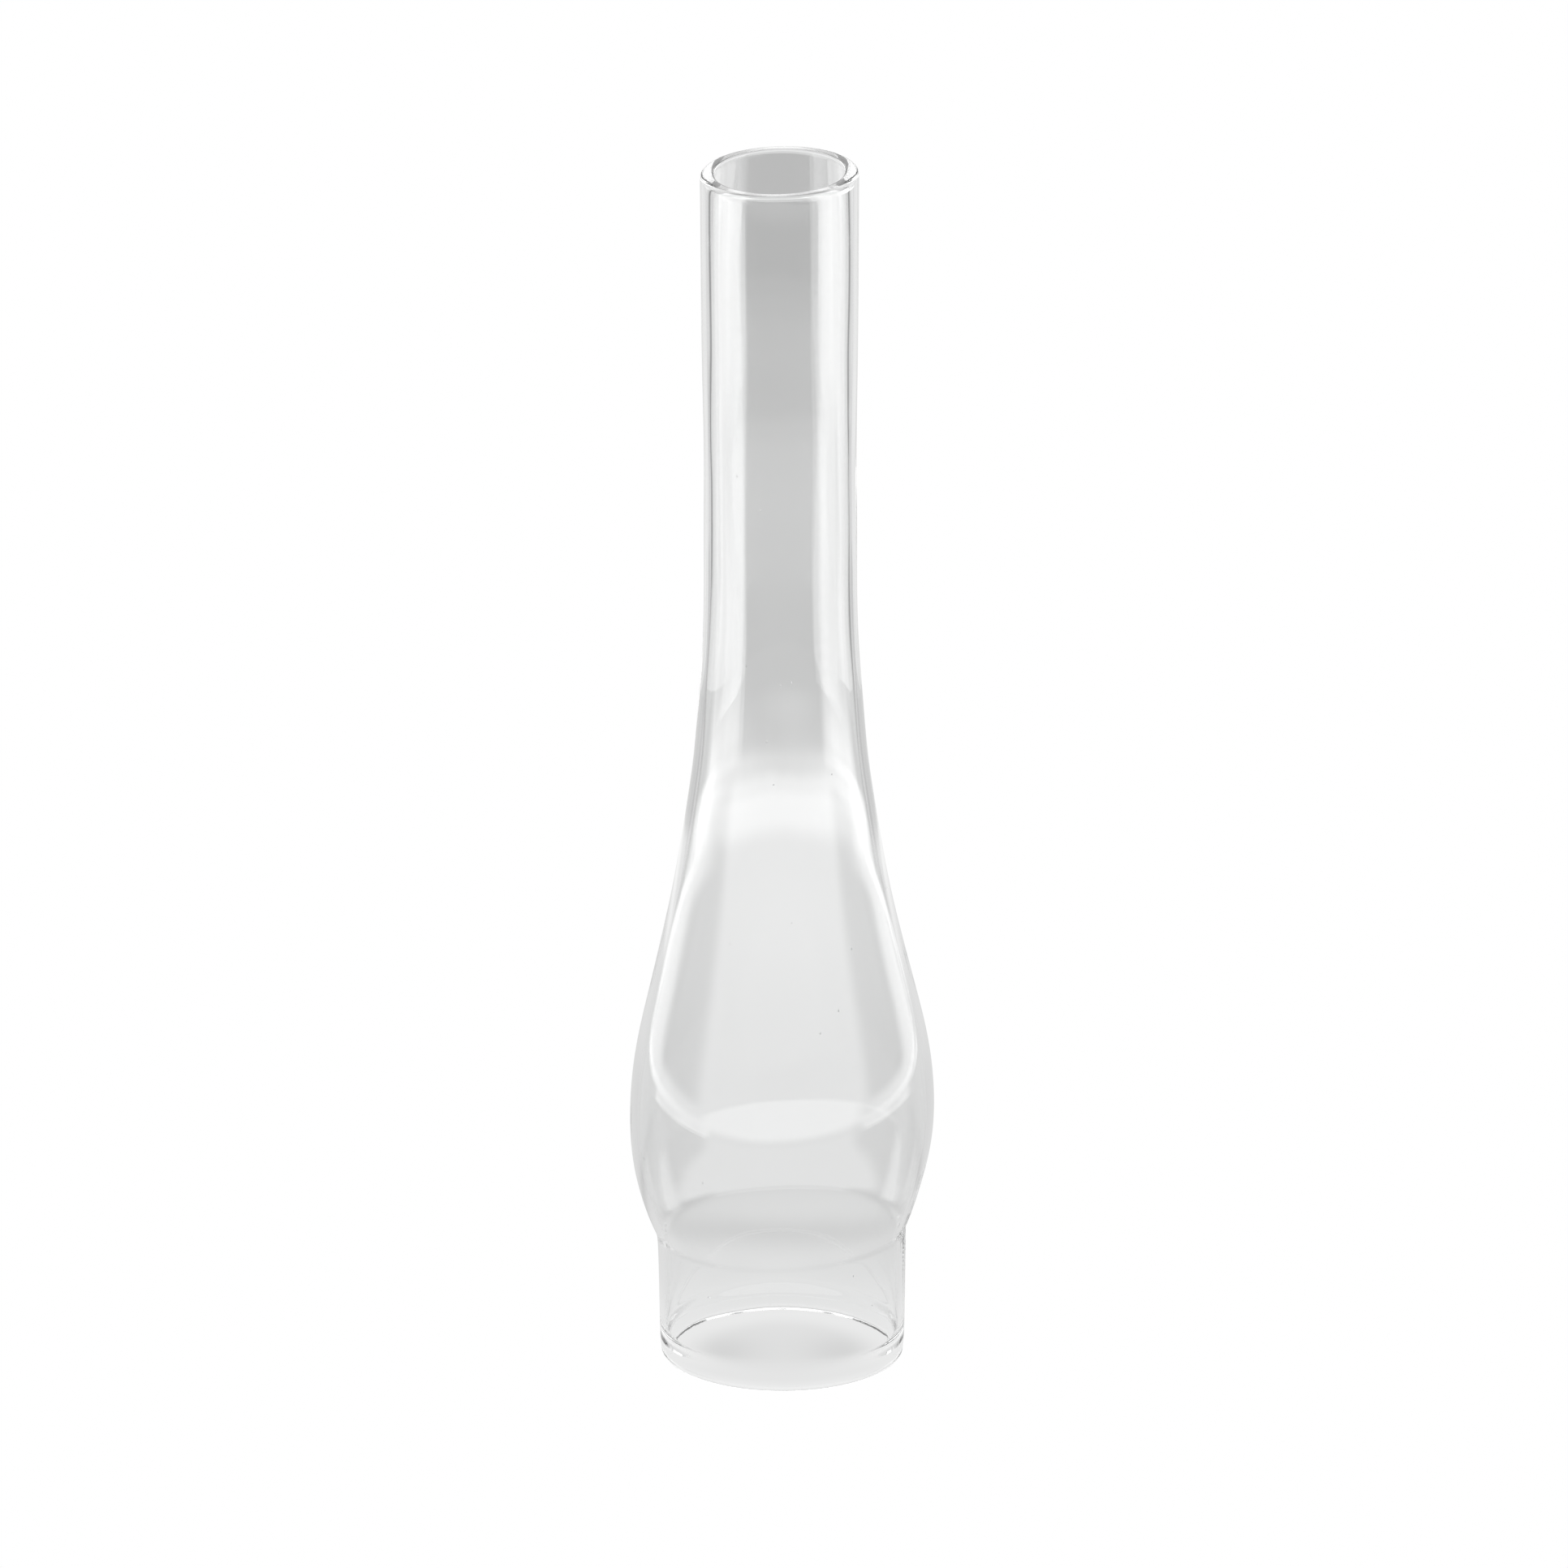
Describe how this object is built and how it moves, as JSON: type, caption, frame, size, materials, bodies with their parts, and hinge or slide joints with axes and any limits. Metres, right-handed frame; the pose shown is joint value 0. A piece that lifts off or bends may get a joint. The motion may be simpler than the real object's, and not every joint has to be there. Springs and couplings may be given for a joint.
{
  "type": "lamp chimney",
  "caption": "Clear blown-glass chimney for an oil lamp: straight collar foot, creased shoulder, swollen belly, long draw up to a narrow flue, melted rims, open at both ends.",
  "frame": {"origin": "on the chimney's axis, in the plane of the foot rim that it stands on", "axes": "+Z along the axis from the foot to the lip. The glass is round, so X and Y are any two directions square to the axis."},
  "size_m": [0.0658, 0.0658, 0.2706],
  "materials": {
    "clear_glass": "clear soda-lime glass, fire polished"
  },
  "bodies": {
    "root": {"chimney": "clear_glass"}
  },
  "joints": []
}
